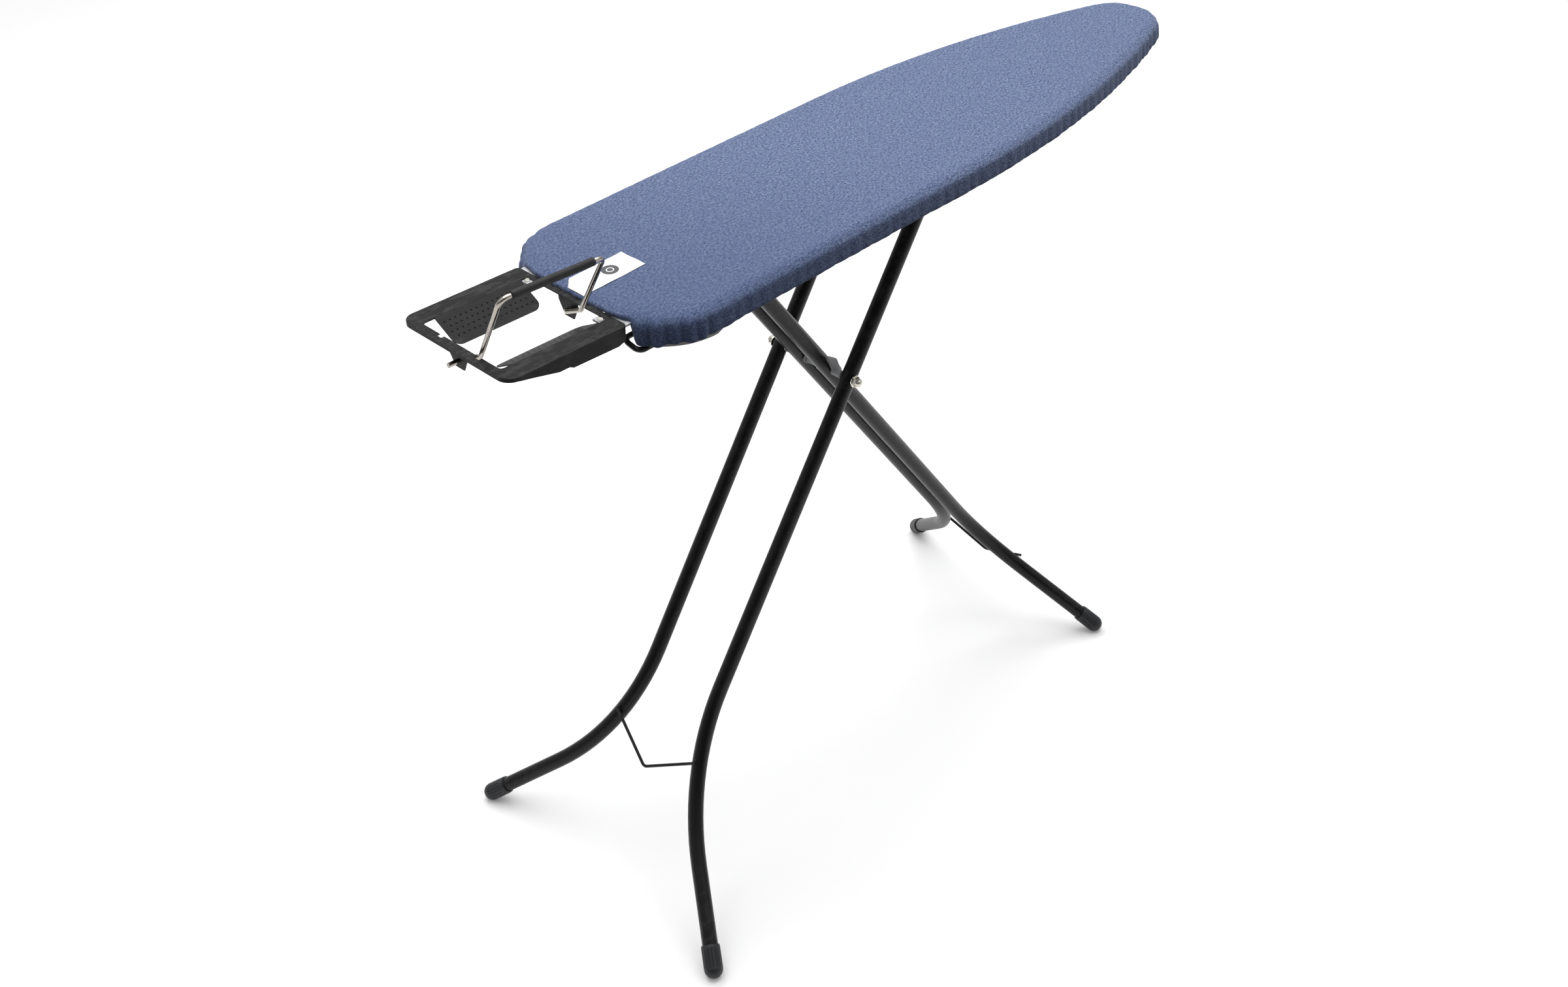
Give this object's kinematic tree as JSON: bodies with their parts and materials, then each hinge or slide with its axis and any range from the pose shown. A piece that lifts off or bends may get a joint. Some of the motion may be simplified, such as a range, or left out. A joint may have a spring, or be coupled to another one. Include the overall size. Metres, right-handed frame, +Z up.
{
  "type": "ironing board",
  "caption": "Folding ironing board with a padded fabric-covered top, crossed tube legs on round feet, a pressed iron tray and a flip-over wire rest.",
  "frame": {"origin": "centre of the bounding box's bottom face, on the floor between the feet, with the board open at its working height", "axes": "+X along the board from the iron tray to the nose, +Y to the left side seen from the tray, +Z up"},
  "size_m": [1.2881, 0.5134, 1.0506],
  "materials": {
    "cover_fabric": "speckled melange cotton weave",
    "felt": "pale felt",
    "tag_fabric": "smooth white tag",
    "board_steel": "light grey powder coat",
    "leg_black": "satin black powder coat",
    "tray_black": "fine matt charcoal powder coat",
    "chrome": "polished nickel-chrome plate",
    "sleeve_black": "matt black sleeve",
    "grey_plastic": "light grey moulded nylon",
    "foot_plastic": "charcoal moulded plastic",
    "zinc": "bright zinc plate"
  },
  "bodies": {
    "board": {"board_top": "board_steel", "board_rim": "board_steel", "underlay": "felt", "cover": "cover_fabric", "cover_label": "tag_fabric", "iron_tray": "tray_black", "bail_bracket_front": "tray_black", "bail_bracket_rear": "tray_black", "tray_arm_left": "board_steel", "tray_arm_right": "board_steel", "hinge_bracket_left": "board_steel", "hinge_bracket_right": "board_steel", "hinge_axle": "zinc", "slide_rail_left": "board_steel", "slide_rail_right": "board_steel", "lever_clips": "grey_plastic", "stiffener_1": "board_steel", "stiffener_2": "board_steel", "stiffener_3": "board_steel", "arm_rivets": "zinc"},
    "inner_legs": {"inner_leg_left": "leg_black", "inner_leg_right": "leg_black", "inner_foot_cap_left": "foot_plastic", "inner_foot_cap_right": "foot_plastic", "inner_leg_brace": "leg_black", "pivot_spacer_left": "grey_plastic", "pivot_spacer_right": "grey_plastic", "pivot_spacer_centre": "grey_plastic"},
    "outer_legs": {"outer_leg_left": "leg_black", "outer_leg_right": "leg_black", "outer_foot_cap_left": "foot_plastic", "outer_foot_cap_right": "foot_plastic", "outer_leg_brace": "leg_black", "pivot_rod": "zinc", "pivot_washers": "zinc", "pivot_cap_nuts": "zinc", "slide_pin_left": "zinc", "slide_pin_right": "zinc"},
    "carriage": {"slide_carriage": "grey_plastic"},
    "height_lever": {"height_lever": "leg_black", "height_comb": "zinc"},
    "bail": {"bail_wire": "chrome", "bail_sleeve": "sleeve_black"}
  },
  "joints": [
    {"name": "leg_fold", "type": "hinge", "parent": "board", "child": "inner_legs", "pos_m": [-0.23468, 0, 0.905], "axis": [0, -1, 0], "range_deg": [0, 55.1]},
    {"name": "outer_fold", "type": "hinge", "parent": "inner_legs", "child": "outer_legs", "pos_m": [-0.0683, 0, 0.6665], "axis": [0, -1, 0], "range_deg": [-110.2, 0]},
    {"name": "carriage_swivel", "type": "hinge", "parent": "outer_legs", "child": "carriage", "pos_m": [0.09808, 0, 0.905], "axis": [0, -1, 0], "range_deg": [0, 55.1]},
    {"name": "lever_squeeze", "type": "hinge", "parent": "board", "child": "height_lever", "pos_m": [0.09808, -0.08, 0.9206], "axis": [1, 0, 0], "range_deg": [0, 12], "stiffness_Nm_per_rad": 6, "springref_deg": -2.86},
    {"name": "bail_flip", "type": "hinge", "parent": "board", "child": "bail", "pos_m": [-0.551, 0, 0.936], "axis": [-0.9992, 0, 0.0407], "range_deg": [0, 116]}
  ],
  "couplings": [
    {"joint": "outer_fold", "follows": "leg_fold", "ratio": -2},
    {"joint": "carriage_swivel", "follows": "leg_fold", "ratio": 1}
  ]
}
